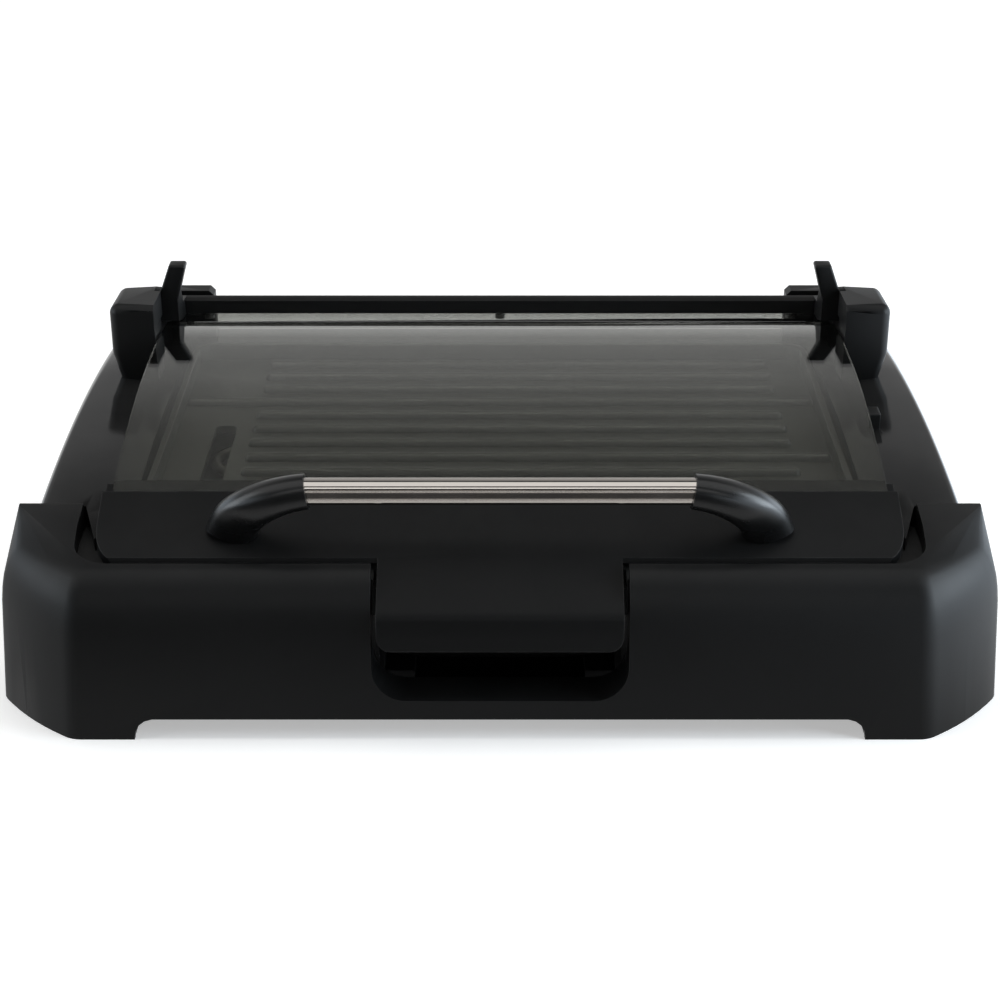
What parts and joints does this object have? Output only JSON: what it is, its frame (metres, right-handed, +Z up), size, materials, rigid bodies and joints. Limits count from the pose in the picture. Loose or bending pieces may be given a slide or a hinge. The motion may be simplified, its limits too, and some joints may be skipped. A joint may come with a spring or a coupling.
{
  "type": "electric indoor grill with lid",
  "caption": "Electric indoor grill: black base with a ridged reversible plate, pull-out drip tray and a hinged lid of smoked arched glass with a bar handle.",
  "frame": {"origin": "centre of the footprint at the level of the table", "axes": "+X along the width to the right seen from the front, +Y from the front fascia to the rear wall, +Z up"},
  "size_m": [0.544, 0.356, 0.1605],
  "materials": {
    "gloss_black": "polished black moulded plastic",
    "matte_black": "soft fine matte black moulded plastic",
    "panel_black": "smooth satin black moulded plastic",
    "inner_black": "plain black moulded plastic",
    "handle_black": "satin black moulded plastic",
    "handle_steel": "polished stainless tube with two long grooves",
    "screw_steel": "zinc plated steel",
    "foot_rubber": "soft black rubber",
    "reflector_sheet": "aluminised sheet steel",
    "element_sheath": "dark oxidised sheath of a tubular element",
    "terminal_ceramic": "off-white glazed ceramic",
    "tray_black": "smooth black moulded plastic",
    "nonstick_cast": "dark grey non-stick coating on cast aluminium",
    "smoked_glass": "smoked tempered glass"
  },
  "bodies": {
    "base": {"base_housing": "gloss_black", "front_fascia": "matte_black", "bottom_cover": "inner_black", "hinge_block_left": "matte_black", "hinge_block_right": "matte_black", "hinge_pins": "screw_steel", "rear_feet": "foot_rubber", "front_foot_pads": "foot_rubber", "housing_screws": "screw_steel", "fascia_screws": "screw_steel", "heat_reflector": "reflector_sheet", "reflector_screws": "screw_steel", "heating_element": "element_sheath", "element_supports": "reflector_sheet", "terminal_block": "terminal_ceramic", "terminal_pins": "screw_steel", "probe_tube": "screw_steel", "probe_socket": "inner_black", "probe_guard": "matte_black"},
    "plate": {"grill_plate": "nonstick_cast", "plate_rim": "nonstick_cast"},
    "tray": {"drip_tray": "tray_black"},
    "lid": {"lid_glass": "smoked_glass", "lid_rear_rail": "matte_black", "rail_screws": "screw_steel", "hinge_arm_left": "matte_black", "hinge_arm_right": "matte_black", "lid_front_panel": "panel_black", "lid_seal": "foot_rubber", "lid_bumpers": "foot_rubber", "handle_arm_left": "handle_black", "handle_arm_right": "handle_black", "handle_bar": "handle_steel", "handle_screws": "screw_steel"}
  },
  "joints": [
    {"name": "lid_hinge", "type": "hinge", "parent": "base", "child": "lid", "pos_m": [0, 0.12, 0.131], "axis": [-1, 0, 0], "range_deg": [0, 97]},
    {"name": "plate_lift", "type": "slide", "parent": "base", "child": "plate", "axis": [0, 0, 1], "range_m": [0, 0.006]},
    {"name": "tray_slide", "type": "slide", "parent": "base", "child": "tray", "axis": [0, -1, 0], "range_m": [0, 0.17]}
  ]
}
